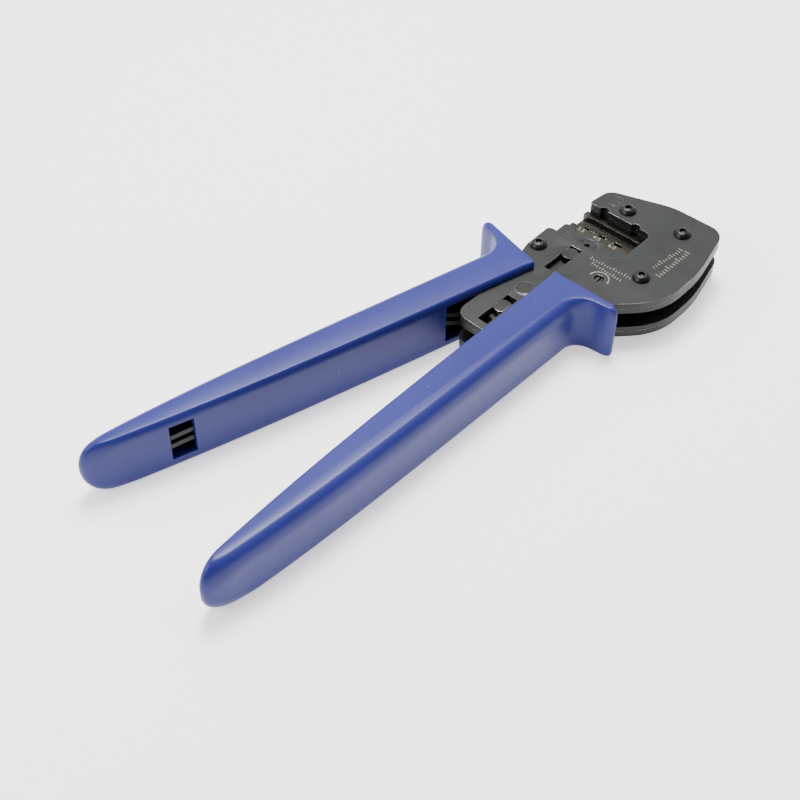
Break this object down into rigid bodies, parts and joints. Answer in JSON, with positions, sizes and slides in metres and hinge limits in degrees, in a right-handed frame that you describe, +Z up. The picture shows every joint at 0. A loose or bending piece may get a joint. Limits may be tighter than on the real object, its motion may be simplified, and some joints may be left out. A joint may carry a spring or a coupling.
{
  "type": "crimping tool",
  "caption": "Hand crimping tool with two long grips, a laminated steel head and parallel-closing dies driven through a toggle with a ratchet pawl.",
  "frame": {"origin": "on the underside of the fixed grip, abreast of the pivot pin, 13 mm from its axis", "axes": "+X from the grips to the head along the slide, +Y from the fixed handle to the moving handle, +Z up along the pivot pin"},
  "size_m": [0.2787, 0.1116, 0.026],
  "materials": {
    "plate_steel": "black oxide, satin, worn silver along the edges",
    "bright_steel": "turned and ground steel",
    "screw_steel": "blackened steel, glossy",
    "grip_plastic": "moulded cobalt blue plastic, satin gloss"
  },
  "bodies": {
    "frame": {"outer_plate_upper": "plate_steel", "inner_plate_upper": "plate_steel", "inner_plate_lower": "plate_steel", "outer_plate_lower": "plate_steel", "pivot_pin": "bright_steel", "plate_spacers": "bright_steel", "frame_screws": "screw_steel", "locating_dowel": "plate_steel", "fixed_die": "bright_steel", "fixed_lever_upper": "plate_steel", "fixed_lever_lower": "plate_steel", "fixed_lever_rivets": "bright_steel", "fixed_grip": "grip_plastic", "spring_anchor": "bright_steel", "return_spring": "bright_steel", "pawl_spring_post": "bright_steel", "pawl_spring": "bright_steel"},
    "moving_handle": {"moving_lever_upper": "plate_steel", "moving_lever_lower": "plate_steel", "crank_pin": "bright_steel", "lever_rivets": "bright_steel", "moving_grip": "grip_plastic"},
    "slide": {"carrier_upper": "plate_steel", "carrier_lower": "plate_steel", "moving_die": "bright_steel", "die_screw": "screw_steel", "front_guide_pin": "bright_steel", "rear_guide_pin": "bright_steel"},
    "link": {"toggle_link": "plate_steel"},
    "pawl": {"pawl": "plate_steel", "release_screw": "screw_steel"}
  },
  "joints": [
    {"name": "handle_open", "type": "hinge", "parent": "frame", "child": "moving_handle", "pos_m": [0, 0.013, 0.013], "axis": [0, 0, -1], "range_deg": [0, 24]},
    {"name": "slide_back", "type": "slide", "parent": "frame", "child": "slide", "axis": [-1, 0, 0], "range_m": [0, 0.0086]},
    {"name": "link_turn", "type": "hinge", "parent": "moving_handle", "child": "link", "pos_m": [0.01871, 0.0097, 0.013], "axis": [0, 0, -1], "range_deg": [-68.5, 0]},
    {"name": "release_turn", "type": "hinge", "parent": "frame", "child": "pawl", "pos_m": [0.0259, -0.0057, 0.013], "axis": [0, 0, 1], "range_deg": [0, 25], "stiffness_Nm_per_rad": 0.05}
  ],
  "couplings": [
    {"joint": "slide_back", "follows": "handle_open", "m_per_rad": 0.020292},
    {"joint": "link_turn", "follows": "handle_open", "ratio": -2.818}
  ]
}
